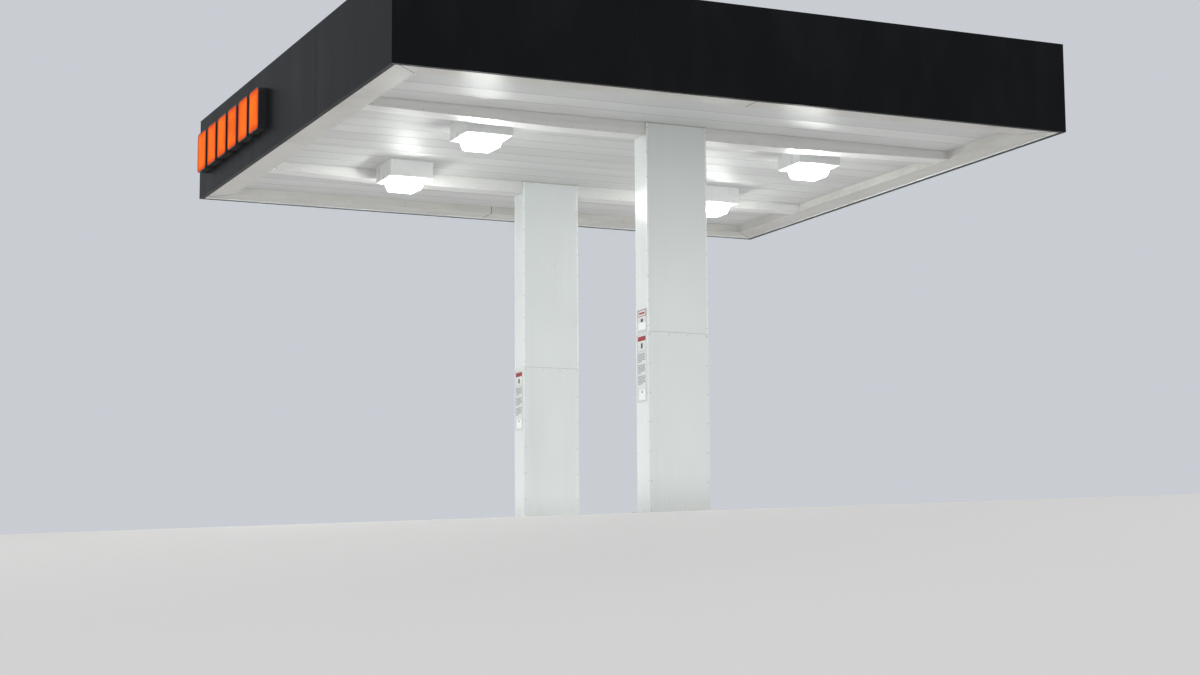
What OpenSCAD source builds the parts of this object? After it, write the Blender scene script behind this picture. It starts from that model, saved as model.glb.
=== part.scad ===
// Filling station canopy on two columns, millimetres, ground at z = 0.
// x runs along the two main beams, y across them, the plan centre is the origin.

/* [Canopy] */
// Overall size along the main beams
canopy_x = 8660; // [7600:10:9600]
// Overall size across the main beams
canopy_y = 8148; // [7600:4:9200]
// Clear height from the ground to the edge soffit
clear_height = 4700; // [4200:10:5400]
// Distance between the column centres
column_spacing = 3894; // [3400:2:4400]

/* [Edge] */
// Height of the fascia
fascia_height = 1100; // [900:10:1300]
// Depth of a folded fascia panel
fascia_depth = 60; // [40:1:80]
// How far the fascia hangs below the edge soffit
fascia_drop = 20; // [5:1:40]
// Width of the edge soffit inside the fascia
edge_width = 341; // [280:1:420]
// How far the deck lies above the edge soffit
deck_recess = 107; // [80:1:140]
// Panels along each side of the fascia
edge_panels = 3; // [2:1:4]
// Gap between neighbouring panels
panel_joint = 6; // [3:1:10]

/* [Deck] */
// Roll-formed pans in the bay between the beams
middle_pans = 9; // [7:1:11]
// Pans in each bay outside the beams
outer_pans = 4; // [3:1:5]
// Height of a pan leg
pan_leg = 75; // [60:1:90]
// Sheet thickness of the pans
pan_sheet = 2; // [1.5:0.5:3]
// Open reveal between two pans
pan_reveal = 5; // [3:1:8]

/* [Beams] */
// Width of a boxed beam
beam_width = 256; // [220:2:300]
// Depth of a beam below the deck at its column
beam_drop = 160; // [130:1:200]
// Half length of the level part of the beam, before it tapers
beam_level = 1540; // [900:10:2200]
// Number of purlins on top of the beams
purlin_count = 5; // [4:1:7]
// Depth of a purlin
purlin_depth = 200; // [150:10:250]

/* [Columns] */
// Width of a column casing along the beam
casing_x = 807; // [700:1:900]
// Depth of a column casing across the beam
casing_y = 331; // [300:1:380]
// Height of the thicker sheet round the foot of a column
wrap_height = 2245; // [1500:5:2600]
// Leg of a corner trim
trim_leg = 20; // [15:1:30]
// Length of the base plate, along the beam that it holds level
base_x = 1280; // [1000:10:1400]
// Width of the base plate
base_y = 300; // [260:10:320]
// Thickness of the base plate
base_t = 40; // [30:1:50]
// Spacing of the anchor bolts along the base plate
bolt_pitch_x = 1150; // [940:10:1300]
// Spacing of the anchor bolts across the base plate
bolt_pitch_y = 180; // [150:10:200]
// Diameter of an anchor bolt hole
bolt_hole = 39; // [30:1:45]

/* [Lights] */
// Side of a square light
light_size = 600; // [500:10:700]
// Height of the light box below the deck
light_height = 216; // [150:1:260]
// Side of the glowing lens where it leaves its box
lens_side = 410; // [360:10:520]
// Drop of the lens below its box
lens_drop = 139; // [60:1:160]
// Distance of the lights from the middle, along and across
light_place = [2263, 1388]; // [1300:2400]

/* [Sign] */
// Number of glowing blocks in the sign
sign_blocks = 6; // [3:1:8]
// Length of the row of blocks
sign_length = 3040; // [2000:10:3400]
// Height of a block
sign_height = 538; // [300:1:650]
// Depth of a block
sign_depth = 105; // [60:1:140]

/* [Hidden] */

steel = 8;                     // web and stiffener thickness
flange_t = 12;                 // flange thickness of the girders
sheet = 4;                     // folded panels of the casings and edges
z_edge = clear_height;
z_deck = clear_height + deck_recess;
z_legs = z_deck + pan_leg;     // top of the pan legs and of the girders
z_purlin = z_legs + purlin_depth;
z_fascia = clear_height - fascia_drop;
z_top = z_fascia + fascia_height;

fascia_x = canopy_x / 2;
fascia_y = canopy_y / 2;
edge_x = fascia_x - fascia_depth;
edge_y = fascia_y - fascia_depth;
inner_x = edge_x - edge_width;
inner_y = edge_y - edge_width;
column_y = column_spacing / 2;
ledge = 30;                    // bearing of the pans on the edge soffit
rail = 40;                     // square tube of the fascia frame
coping_lip = 45;               // turned-down back edge of the coping
frame_bay = 830;               // widest bay between the posts of the frame
purlin_w = 100;
wrap_t = 6;                    // extra thickness of the foot wrap
foot_gap = 10;                 // joint between the casing and the ground

girder_w = 200;
girder_gap = 6;                // girder to its casing
z_beam = z_deck - beam_drop;   // underside of a beam at its column
z_girder = z_beam + sheet + girder_gap;
cap_t = 20;
column_h = [400, 250];         // steel column section, along and across
column_t = [24, 14];           // its flanges and web

light_r = 14;
lens_base = lens_side - 80;    // flat bottom of the drop lens

// Half of a symmetrical outline, mirrored and joined: points run along +x
function both_ways(pts) =
    concat(pts, [for (i = [len(pts) - 1 : -1 : 0]) [-pts[i][0], pts[i][1]]]);

// Height of the tapered underside at a distance along the beam
function under(x, lift = 0) =
    let (rise = beam_drop - deck_recess, run = inner_x - beam_level)
    z_beam + lift + max(0, x - beam_level) / run * rise;

module at_column(side) translate([0, side * column_y, 0]) children();

module rounded_plate(x, y, r, h) {
    linear_extrude(h) {
        square([x - 2 * r, y], center = true);
        square([x, y - 2 * r], center = true);
        for (sx = [-1, 1], sy = [-1, 1])
            translate([sx * (x / 2 - r), sy * (y / 2 - r)]) circle(r, $fn = 32);
    }
}

// A mitred band along one side: y = 0 on the outer face, growing inwards
module band(half, a, b, z0, z1, inset = 0) {
    translate([0, 0, z0]) linear_extrude(z1 - z0)
        polygon([[-half + a + inset, a], [half - a - inset, a],
                 [half - b - inset, b], [-half + b + inset, b]]);
}

// The slot of one panel out of a row along a side
module slot(half, i, margin) {
    pitch = 2 * half / edge_panels;
    left = i == 0 ? -half - 1 : -half + i * pitch + margin;
    right = i == edge_panels - 1 ? half + 1 : -half + (i + 1) * pitch - margin;
    translate([left, -1, 0]) cube([right - left, 2 * edge_width, z_top + 100]);
}

// Puts a side on the front, right, back or left edge
module on_side(k) {
    depth = k % 2 == 0 ? fascia_y : fascia_x;
    rotate([0, 0, 90 * k]) translate([0, -depth, 0]) children();
}
function half_of(k) = k % 2 == 0 ? fascia_x : fascia_y;

module fascia(k) {
    half = half_of(k);
    color("#16171a") on_side(k)
        for (i = [0 : edge_panels - 1]) {
            difference() {
                intersection() {
                    band(half, 0, fascia_depth, z_fascia, z_top);
                    slot(half, i, panel_joint / 2);
                }
                intersection() {
                    band(half, sheet, fascia_depth + 1, z_fascia + sheet, z_top - sheet,
                         2 * sheet);
                    slot(half, i, panel_joint / 2 + sheet);
                }
            }
            intersection() {
                coping(half);
                slot(half, i, panel_joint / 2);
            }
        }
}

// Folded cap that runs back from the panel over the frame and turns down behind it
module coping(half) {
    back = fascia_depth + rail + sheet;
    band(half, fascia_depth - 1, back, z_top - sheet, z_top);
    band(half, back - sheet, back, z_top - coping_lip, z_top);
}

module edge_soffit(k) {
    half = half_of(k);
    inside = fascia_depth + edge_width;
    color("#d9d9d4") on_side(k)
        for (i = [0 : edge_panels - 1]) intersection() {
            union() {
                band(half, fascia_depth, inside, z_edge, z_edge + sheet);
                band(half, inside - sheet, inside, z_edge, z_deck);
                band(half, inside - ledge - 10, inside, z_deck - sheet, z_deck);
            }
            slot(half, i, panel_joint / 4);
        }
}

// Half length of a fascia frame; the long sides run past the short ones
function frame_half(k) = k % 2 == 0 ? edge_x : edge_y - rail;
function frame_bays(k) = ceil(2 * frame_half(k) / frame_bay);
function post_x(k, i) = -frame_half(k) + i * (2 * frame_half(k) - rail) / frame_bays(k);

module fascia_frame(k) {
    half = frame_half(k);
    z0 = z_edge + sheet;
    z1 = z_top - sheet;
    color("#8d9296") on_side(k) translate([0, fascia_depth, 0]) {
        for (z = [z0, z_purlin - rail, z1 - rail])
            translate([-half, 0, z]) cube([2 * half, rail, rail]);
        for (i = [0 : frame_bays(k)])
            translate([post_x(k, i), 0, z0]) cube([rail, rail, z1 - z0]);
    }
}

// Tubes from the posts of an end frame back to the nearest purlin
module fascia_struts(k) {
    reach = edge_x - rail - purlin_x(purlin_count - 1) - purlin_w / 2;
    color("#8d9296") on_side(k) for (i = [1 : frame_bays(k) - 1])
        translate([post_x(k, i), fascia_depth + rail, z_purlin - rail])
            cube([rail, reach, rail]);
}

module pan(width, length) {
    lip = 14;
    hw = (width - pan_reveal) / 2;
    t = pan_sheet;
    translate([length / 2, 0, z_deck]) rotate([90, 0, -90]) linear_extrude(length)
        polygon(both_ways([
            [hw - 6, 0], [hw, 6], [hw, pan_leg], [hw - lip, pan_leg],
            [hw - lip, pan_leg - t], [hw - t, pan_leg - t], [hw - t, 7], [hw - 7, t]]));
}

module deck_bay(y0, y1, pans) {
    width = (y1 - y0) / pans;
    color("#eeeeea") for (i = [0 : pans - 1])
        translate([0, y0 + (i + 0.5) * width, 0]) pan(width, 2 * (inner_x + ledge));
}

module outer_deck(side) {
    y0 = column_y + beam_width / 2 + sheet;
    y1 = inner_y + ledge;
    if (side > 0) deck_bay(y0, y1, outer_pans);
    else deck_bay(-y1, -y0, outer_pans);
}

module middle_deck() {
    y1 = column_y - beam_width / 2 - sheet;
    deck_bay(-y1, y1, middle_pans);
}

// Tapered cantilever outline in x and z, from the underside up to a level top
module beam_outline(lift, top, ends) {
    polygon(concat(
        [[-ends, under(ends, lift)], [-beam_level, under(0, lift)],
         [beam_level, under(0, lift)], [ends, under(ends, lift)]],
        [[ends, top], [-ends, top]]));
}

module across(width, y = 0) translate([0, y + width / 2, 0]) rotate([90, 0, 0])
    linear_extrude(width) children();

module girder(side) {
    ends = inner_x - 8;
    lift = sheet + girder_gap;
    color("#9aa0a4") at_column(side) {
        across(steel) beam_outline(lift, z_legs, ends);
        across(girder_w) difference() {
            beam_outline(lift, z_legs, ends);
            beam_outline(lift + flange_t, z_legs - flange_t, ends + 1);
        }
        for (x = [-2600, -column_h[0] / 2 + 9, column_h[0] / 2 - 9, 2600])
            translate([x - steel / 2, -girder_w / 2, under(abs(x), lift) + 4])
                cube([steel, girder_w, z_legs - under(abs(x), lift) - 8]);
    }
}

module beam_casing(side) {
    top = z_deck + 45;
    color("#e9e9e4") at_column(side) difference() {
        across(beam_width) beam_outline(0, top, inner_x);
        across(beam_width - 2 * sheet) beam_outline(sheet, top + 1, inner_x + 1);
        translate([0, 0, z_deck - 500]) cube([casing_x, 2 * beam_width, 2000], center = true);
    }
}

function purlin_x(i) =
    let (reach = inner_x - 129) -reach + i * 2 * reach / (purlin_count - 1);

module purlin(i) {
    half = edge_y - rail;
    w = purlin_w / 2;
    t = 8;
    web = 3;
    h = purlin_depth;
    color("#a3a8ab") translate([purlin_x(i), half, z_legs]) rotate([90, 0, 0])
        linear_extrude(2 * half)
            polygon(both_ways([[w, 0], [w, t], [web, t], [web, h - t], [w, h - t], [w, h]]));
}

module gutter(side) {
    x0 = inner_x + ledge + 16;
    w = 150;
    t = 3;
    h = deck_recess - 22;
    half = inner_y + 200;
    color("#b9bcbd") translate([side * (x0 + w / 2), 0, z_edge + sheet]) difference() {
        translate([-w / 2, -half, 0]) cube([w, 2 * half, h]);
        translate([-w / 2 + t, -half + t, t]) cube([w - 2 * t, 2 * (half - t), h]);
    }
}

// Reaches past the casing on both sides, because the roof overhangs that way
module base_plate(side) {
    color("#7f8589") at_column(side) difference() {
        rounded_plate(base_x, base_y, 20, base_t);
        for (sx = [-1, 1], sy = [-1, 1])
            translate([sx * bolt_pitch_x / 2, sy * bolt_pitch_y / 2, -1])
                cylinder(h = base_t + 2, d = bolt_hole, $fn = 32);
    }
}

module column_steel(side) {
    hx = column_h[0] / 2;
    hy = column_h[1] / 2;
    f = column_t[0];
    web = column_t[1] / 2;
    top = z_girder - cap_t;
    color("#7f8589") at_column(side) {
        for (s = [-1, 1]) translate([s * (hx - f / 2) - f / 2, -hy, base_t])
            cube([f, 2 * hy, top - base_t + 1]);
        translate([-hx + 1, -web, base_t]) cube([2 * hx - 2, 2 * web, top - base_t + 1]);
        translate([-hx - 20, -girder_w / 2, top]) cube([2 * hx + 40, girder_w, cap_t]);
    }
}

// Flat sheets on the wide faces, up to the deck
module wide_panels(side) {
    width = casing_x - 8;
    color("#ecece7") at_column(side) for (face = [-1, 1])
        translate([-width / 2, face * (casing_y / 2 - 2 - sheet / 2) - sheet / 2, foot_gap])
            cube([width, sheet, z_deck - foot_gap]);
}

// Narrow faces, notched where the base plate and the girder pass through
module narrow_panels(side) {
    width = casing_y - 4 - 2 * sheet;
    notch = girder_w + 8;
    foot = base_t + 6;
    color("#ecece7") at_column(side) for (s = [-1, 1])
        translate([s * (casing_x / 2 - 2 - sheet / 2) - sheet / 2, -width / 2, 0])
            difference() {
                translate([0, 0, foot]) cube([sheet, width, z_deck - foot]);
                translate([-1, (width - notch) / 2, z_girder - 4])
                    cube([sheet + 2, notch, beam_drop]);
            }
}

module corner_trims(side) {
    h = z_deck - wrap_height;
    color("#f7f7f4") at_column(side) for (sx = [-1, 1], sy = [-1, 1])
        translate([sx * casing_x / 2, sy * casing_y / 2, wrap_height])
            mirror([sx > 0 ? 1 : 0, 0, 0]) mirror([0, sy > 0 ? 1 : 0, 0])
                linear_extrude(h) polygon([[0, 0], [trim_leg, 0], [trim_leg, 2],
                                           [2, 2], [2, trim_leg], [0, trim_leg]]);
}

module foot_wrap(side) {
    x = casing_x - 4;
    y = casing_y - 4;
    color("#e4e4df") at_column(side) difference() {
        translate([0, 0, foot_gap])
            rounded_plate(x + 2 * wrap_t, y + 2 * wrap_t, wrap_t, wrap_height - foot_gap);
        translate([-x / 2, -y / 2, -1]) cube([x, y, wrap_height + 2]);
        translate([-x, -base_y / 2 - 3, -1]) cube([2 * x, base_y + 6, base_t + 7]);
    }
}

function light_xy(i) = [(i % 2 == 0 ? -1 : 1) * light_place[0],
                        (i < 2 ? -1 : 1) * light_place[1]];

module light_box(i) {
    wall = 3;
    rim = 26;
    color("#f2f2ee") translate([light_xy(i)[0], light_xy(i)[1], z_deck - light_height])
        difference() {
            union() {
                rounded_plate(light_size, light_size, light_r, rim);
                translate([0, 0, rim])
                    rounded_plate(light_size - 8, light_size - 8, light_r, light_height - rim);
            }
            translate([0, 0, wall + 6]) rounded_plate(light_size - 16, light_size - 16,
                                                      light_r - 6, light_height - 2 * wall - 6);
            translate([0, 0, -1]) rounded_plate(lens_side, lens_side, light_r, 20);
        }
}

// Drop lens: a glass dish with round shoulders, hung in the frame of its box
module light_lens(i) {
    wall = 4;
    color("#fffdf2") translate([light_xy(i)[0], light_xy(i)[1], z_deck - light_height])
        difference() {
            lens_body(0);
            lens_body(wall);
        }
}

module lens_body(inside) {
    rise = inside > 0 ? 1 : 0;
    mouth = lens_side - 2 * inside;
    shoulder = lens_base + 44 - 2 * inside;
    base = lens_base - 2 * inside;
    hull() {
        translate([0, 0, rise]) rounded_plate(mouth, mouth, 14, 9);
        translate([0, 0, -lens_drop + inside + 34]) rounded_plate(shoulder, shoulder, 24, 1);
        translate([0, 0, -lens_drop + inside]) rounded_plate(base, base, 30, 1);
    }
}

// The row of blocks starts close to the back end of the left side
sign_y = fascia_y - 280 - sign_length;
sign_z = z_fascia + (fascia_height - sign_height) / 2 + 20;
sign_gap = 90;
block_w = (sign_length - (sign_blocks - 1) * sign_gap) / sign_blocks;

module sign_row(inset, depth0, depth1) {
    for (i = [0 : sign_blocks - 1])
        translate([-fascia_x - depth1, sign_y + (i + 0.5) * (block_w + sign_gap) - sign_gap / 2,
                   sign_z + sign_height / 2])
            rotate([0, 90, 0]) rounded_plate(sign_height - 2 * inset, block_w - 2 * inset,
                                             60 - inset, depth1 - depth0);
}

module sign_cans() color("#2a2a2c") difference() {
    sign_row(0, 0, sign_depth);
    sign_row(6, 8, sign_depth + 10);
}

module sign_faces() color("#ff4d12") sign_row(6, sign_depth - 16, sign_depth - 4);

module notice(side, z0, w, h) {
    color("#f3f3ee") at_column(side)
        translate([-casing_x / 2 - wrap_t + 2 - 3, -w / 2, z0]) cube([3, w, h]);
}

// Plain notices on the narrow left face; the top one sits above the foot wrap
module front_notices() {
    notice(-1, 1410, 262, 820);
    translate([wrap_t - 2, 0, 0]) notice(-1, wrap_height + 15, 262, 280);
}

module back_notice() notice(1, 1400, 262, 810);

base_plate(-1);  // front_base_plate
column_steel(-1);  // front_column_steel
wide_panels(-1);  // front_column_wide_panels
narrow_panels(-1);  // front_column_narrow_panels
corner_trims(-1);  // front_column_corner_trims
foot_wrap(-1);  // front_column_foot_wrap
base_plate(1);  // back_base_plate
column_steel(1);  // back_column_steel
wide_panels(1);  // back_column_wide_panels
narrow_panels(1);  // back_column_narrow_panels
corner_trims(1);  // back_column_corner_trims
foot_wrap(1);  // back_column_foot_wrap
girder(-1);  // front_girder
girder(1);  // back_girder
beam_casing(-1);  // front_beam_casing
beam_casing(1);  // back_beam_casing
purlin(0);  // purlin_1
purlin(1);  // purlin_2
purlin(2);  // purlin_3
purlin(3);  // purlin_4
purlin(4);  // purlin_5
outer_deck(-1);  // deck_front
middle_deck();  // deck_middle
outer_deck(1);  // deck_back
edge_soffit(0);  // edge_soffit_front
edge_soffit(1);  // edge_soffit_right
edge_soffit(2);  // edge_soffit_back
edge_soffit(3);  // edge_soffit_left
fascia(0);  // fascia_front
fascia(1);  // fascia_right
fascia(2);  // fascia_back
fascia(3);  // fascia_left
fascia_frame(0);  // fascia_frame_front
fascia_frame(1);  // fascia_frame_right
fascia_frame(2);  // fascia_frame_back
fascia_frame(3);  // fascia_frame_left
fascia_struts(1);  // fascia_struts_right
fascia_struts(3);  // fascia_struts_left
gutter(-1);  // gutter_left
gutter(1);  // gutter_right
light_box(0);  // light_box_1
light_box(1);  // light_box_2
light_box(2);  // light_box_3
light_box(3);  // light_box_4
light_lens(0);  // light_lens_1
light_lens(1);  // light_lens_2
light_lens(2);  // light_lens_3
light_lens(3);  // light_lens_4
sign_cans();
sign_faces();
front_notices();  // front_column_notices
back_notice();  // back_column_notice
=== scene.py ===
import bpy, bmesh, math, random
from mathutils import Matrix, Vector


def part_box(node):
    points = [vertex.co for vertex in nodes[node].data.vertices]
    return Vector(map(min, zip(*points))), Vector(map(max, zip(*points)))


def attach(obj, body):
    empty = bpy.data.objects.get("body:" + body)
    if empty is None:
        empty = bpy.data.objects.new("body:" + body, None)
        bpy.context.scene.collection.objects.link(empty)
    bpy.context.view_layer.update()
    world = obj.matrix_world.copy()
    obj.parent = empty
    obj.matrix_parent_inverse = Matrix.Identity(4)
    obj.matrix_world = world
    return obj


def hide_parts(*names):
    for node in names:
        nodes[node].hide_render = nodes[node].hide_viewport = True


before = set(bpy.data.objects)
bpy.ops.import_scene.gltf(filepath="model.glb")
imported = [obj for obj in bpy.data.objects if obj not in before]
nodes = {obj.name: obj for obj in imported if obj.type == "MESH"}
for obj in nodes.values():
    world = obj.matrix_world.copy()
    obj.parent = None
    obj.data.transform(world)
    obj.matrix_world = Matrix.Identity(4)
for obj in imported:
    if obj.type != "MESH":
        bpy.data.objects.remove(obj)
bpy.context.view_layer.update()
print("frame loaded:", len(nodes), "nodes")


# Heights and lines that several pieces share, read from the frame (metres)
edgeLow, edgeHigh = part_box("edge_soffit_left")
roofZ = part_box("deck_middle")[0].z      # underside of the pans
soffitZ = edgeLow.z                     # underside of the edge soffit
roofLow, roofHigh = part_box("fascia_front")[0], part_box("fascia_back")[1]
fasciaDeep = edgeLow.x - roofLow.x
edgeWide = edgeHigh.x - edgeLow.x
columns = ("front", "back")
bothSigns = (-1, 1)
fourSigns = [(sx, sy) for sx in bothSigns for sy in bothSigns]
xWay, yWay, zWay = Vector((1, 0, 0)), Vector((0, 1, 0)), Vector((0, 0, 1))
upwards, downwards, leftwards = (0, 0, 1), (0, 0, -1), (-1, 0, 0)


def toLinear(hexColour):
    parts = [int(hexColour[i:i + 2], 16) / 255 for i in (1, 3, 5)]
    return tuple(c / 12.92 if c <= 0.04045 else ((c + 0.055) / 1.055) ** 2.4 for c in parts) + (1.0,)


# An input takes a fixed value, a hex colour, another node's output, a node for its first output, or a
# list of these where it joins several
def setInputs(node, inputs):
    for name, value in inputs.items():
        for one in value if isinstance(value, list) else [value]:
            if isinstance(one, bpy.types.Node):
                one = one.outputs[0]
            if isinstance(one, bpy.types.NodeSocket):
                node.id_data.links.new(one, node.inputs[name])
            else:
                hexColour = isinstance(one, str) and one.startswith("#")
                node.inputs[name].default_value = toLinear(one) if hexColour else one


# Inputs go by name or number: a colour mix has its colours at 6 and 7, a mix of numbers at 2 and 3
def addNode(tree, kind, inputs=None, **settings):
    node = tree.nodes.new(kind)
    for name, value in settings.items():
        setattr(node, name, value)
    setInputs(node, inputs or {})
    return node


# The two ends of a range, as the inputs "From" or "To"
def span(label, pair):
    return {label + " Min": pair[0], label + " Max": pair[1]}


def newMaterial(name, fixed):
    material = bpy.data.materials.new(name)
    material.use_nodes = True
    tree = material.node_tree
    tree.nodes.clear()
    surface = addNode(tree, "ShaderNodeBsdfPrincipled", fixed)
    addNode(tree, "ShaderNodeOutputMaterial", {"Surface": surface})
    place = addNode(tree, "ShaderNodeTexCoord").outputs["Object"]
    return material, tree, surface, place


# Weather on painted sheet. Every scale is in repeats to the metre: patches 1.1 m wide, puddle marks
# 0.6 m wide, and specks of grit 17 mm wide, coarser than real ones so that they show
weather = {"cloudScale": 0.9, "grimeRange": (0.48, 0.74), "glossRange": (0.3, 0.7), "speckScale": 60.0,
           "splashShare": 0.55, "puddleScale": 1.7, "puddleRange": (0.35, 0.62), "levelRange": (0.3, 0.9),
           "dustColour": "#7F7A6D", "bumpDeep": 0.01}


# Splashed grime round the foot of a piece, which fades out with height
def splashed(tree, place, colour, look):
    parts = addNode(tree, "ShaderNodeSeparateXYZ", {0: place})
    fade = addNode(tree, "ShaderNodeMapRange", {
        "Value": parts.outputs[2], "From Max": look["splash"],
        **span("To", (weather["splashShare"], 0.0))}, interpolation_type="SMOOTHSTEP")
    speck = addNode(tree, "ShaderNodeTexNoise", {
        "Vector": place, "Scale": weather["speckScale"], "Detail": 4.0})
    share = addNode(tree, "ShaderNodeMath", {0: fade, 1: speck}, operation="MULTIPLY")
    return addNode(tree, "ShaderNodeMix", {
        "Factor": share, 6: colour, 7: look["grimeColour"]}, data_type="RGBA").outputs[2]


# Roll-formed pans side by side: each has its own tone and a slight dish, and the seams hold dust
def panned(tree, place, colour, height, look):
    start, pitch = look["pan"]
    parts = addNode(tree, "ShaderNodeSeparateXYZ", {0: place})
    along = addNode(tree, "ShaderNodeMath", {0: parts.outputs[1], 1: -start}, operation="ADD")
    count = addNode(tree, "ShaderNodeMath", {0: along, 1: 1 / pitch}, operation="MULTIPLY")
    index = addNode(tree, "ShaderNodeMath", {0: count}, operation="FLOOR")
    across = addNode(tree, "ShaderNodeMath", {0: count}, operation="FRACT")
    pick = addNode(tree, "ShaderNodeTexWhiteNoise", {"W": index}, noise_dimensions="1D")
    value = addNode(tree, "ShaderNodeMapRange", {"Value": pick, **span("To", look["tones"])})
    toned = addNode(tree, "ShaderNodeHueSaturation", {"Color": colour, "Value": value})
    centred = addNode(tree, "ShaderNodeMath", {0: across, 1: -0.5}, operation="ADD")
    dish = addNode(tree, "ShaderNodeMath", {0: centred, 1: centred}, operation="MULTIPLY")
    seam = addNode(tree, "ShaderNodeMapRange", {
        "Value": dish, **span("From", look["seam"]), "To Max": look["seamDirt"]})
    dirty = addNode(tree, "ShaderNodeMix", {
        "Factor": seam, 6: toned, 7: look["grimeColour"]}, data_type="RGBA").outputs[2]
    calm = addNode(tree, "ShaderNodeMath", {0: height, 1: look["calm"]}, operation="MULTIPLY")
    shaped = addNode(tree, "ShaderNodeMath", {0: dish, 1: look["dish"], 2: calm}, operation="MULTIPLY_ADD")
    return dirty, shaped, seam


# Dust and rain marks, which lie on what faces up
def dusted(tree, place, colour, look):
    normal = addNode(tree, "ShaderNodeNewGeometry").outputs["Normal"]
    facing = addNode(tree, "ShaderNodeSeparateXYZ", {0: normal})
    level = addNode(tree, "ShaderNodeMapRange", {
        "Value": facing.outputs[2], **span("From", weather["levelRange"]), "To Max": look["dust"]})
    puddle = addNode(tree, "ShaderNodeTexNoise", {
        "Vector": place, "Scale": weather["puddleScale"], "Detail": 7.0, "Roughness": 0.65})
    ring = addNode(tree, "ShaderNodeMapRange", {"Value": puddle, **span("From", weather["puddleRange"])})
    settled = addNode(tree, "ShaderNodeMath", {0: level, 1: ring}, operation="MULTIPLY")
    return addNode(tree, "ShaderNodeMix", {
        "Factor": settled, 6: colour, 7: weather["dustColour"]}, data_type="RGBA").outputs[2]


# Painted sheet: colour that drifts a little, grime in long streaks, and a skin that is never quite flat.
# streakScale is streaks to the metre along x, y and z; waves multiplies it for the skin's relief
def paintedSheet(name, look):
    material, tree, surface, place = newMaterial(name, {"IOR": look.get("ior", 1.5)})
    stretched = addNode(tree, "ShaderNodeMapping", {"Vector": place, "Scale": look["streakScale"]})
    streak = addNode(tree, "ShaderNodeTexNoise", {
        "Vector": stretched, "Scale": 1.0, "Detail": 5.0, "Roughness": 0.6})
    grime = addNode(tree, "ShaderNodeMapRange", {
        "Value": streak, **span("From", weather["grimeRange"]), "To Max": look["grime"]})
    cloud = addNode(tree, "ShaderNodeTexNoise", {
        "Vector": place, "Scale": weather["cloudScale"], "Detail": 3.0})
    tone = addNode(tree, "ShaderNodeMix", {
        "Factor": cloud, 6: look["colour"], 7: look["drift"]}, data_type="RGBA").outputs[2]
    colour = addNode(tree, "ShaderNodeMix", {
        "Factor": grime, 6: tone, 7: look["grimeColour"]}, data_type="RGBA").outputs[2]
    height = addNode(tree, "ShaderNodeTexNoise", {
        "Vector": stretched, "Scale": look["waves"], "Detail": 1.0})
    if "splash" in look:
        colour = splashed(tree, place, colour, look)
    if "pan" in look:
        colour, height, seam = panned(tree, place, colour, height, look)
    if "dust" in look:
        colour = dusted(tree, place, colour, look)
    rough = addNode(tree, "ShaderNodeMapRange", {
        "Value": streak, **span("From", weather["glossRange"]), **span("To", look["gloss"])})
    if "pan" in look:                   # the dusty seams break up what the pans reflect
        rough = addNode(tree, "ShaderNodeMix", {0: seam, 2: rough, 3: look["seamRough"]})
    bump = addNode(tree, "ShaderNodeBump", {
        "Height": height, "Strength": look["relief"], "Distance": weather["bumpDeep"]})
    setInputs(surface, {"Base Color": colour, "Roughness": rough, "Normal": bump})
    return material


deckBays = {"deck_front": 4, "deck_middle": 9, "deck_back": 4}       # pans in each bay
panReveal = 0.005                       # open gap between one pan and the next


# Coil-coated steel pans: satin, so that each lens's light lies wide and soft on them, broken by the seams.
# Their white is a little greyer than the beams' and columns' white, a painted shade on the roof's underside
def deckPaint(node):
    low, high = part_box(node)
    pitch = (high.y - low.y + panReveal) / deckBays[node]
    return paintedSheet("coilCoatedPans_" + node, {
        "colour": "#DCDDDD", "drift": "#D2D3D3", "grimeColour": "#7C7971", "grime": 0.07,
        "streakScale": (0.22, 7.0, 7.0), "waves": 0.5, "gloss": (0.5, 0.62), "relief": 0.7,
        "pan": (low.y - panReveal / 2, pitch), "tones": (0.93, 1.02), "seam": (0.222, 0.246),
        "seamDirt": 0.72, "seamRough": 1.0, "dish": 1.7, "calm": 0.16, "dust": 0.6})


# Polyester coil coat, rolled on and baked: clean gloss with the sheet's faint waves
columnPaint = paintedSheet("coilCoatedColumnSheet", {
    "colour": "#E6EBEA", "drift": "#DDE2E1", "grimeColour": "#8B897F", "grime": 0.06,
    "streakScale": (4.0, 4.0, 0.3), "waves": 0.6, "gloss": (0.14, 0.24), "relief": 0.12, "splash": 0.6})
# Extruded aluminium trim, powder coated: brighter than the sheet beside it, so each corner reads as a line
trimPaint = paintedSheet("powderCoatedTrim", {
    "colour": "#F3F6F5", "drift": "#ECEFEE", "grimeColour": "#9A978D", "grime": 0.08,
    "streakScale": (9.0, 9.0, 0.6), "waves": 2.0, "gloss": (0.2, 0.32), "relief": 0.05})
# Folded steel in a satin coat: a plain white beside the columns' gloss, with streaks along the beam
beamPaint = paintedSheet("satinBeamSheet", {
    "colour": "#E8E8E6", "drift": "#DDDDDB", "grimeColour": "#85817A", "grime": 0.16,
    "streakScale": (0.5, 5.0, 9.0), "waves": 0.8, "gloss": (0.26, 0.4), "relief": 0.14})
# The same satin coat at the roof's rim: a warmer, greyer white that paints in the shade on the rim's
# underside, which the lamps light less, and is streaked with the most grime
edgePaint = paintedSheet("satinEdgeSheet", {
    "colour": "#D5D3CF", "drift": "#CAC8C4", "grimeColour": "#77736A", "grime": 0.2,
    "streakScale": (1.3, 1.3, 6.0), "waves": 1.4, "gloss": (0.3, 0.46), "relief": 0.14})
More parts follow.
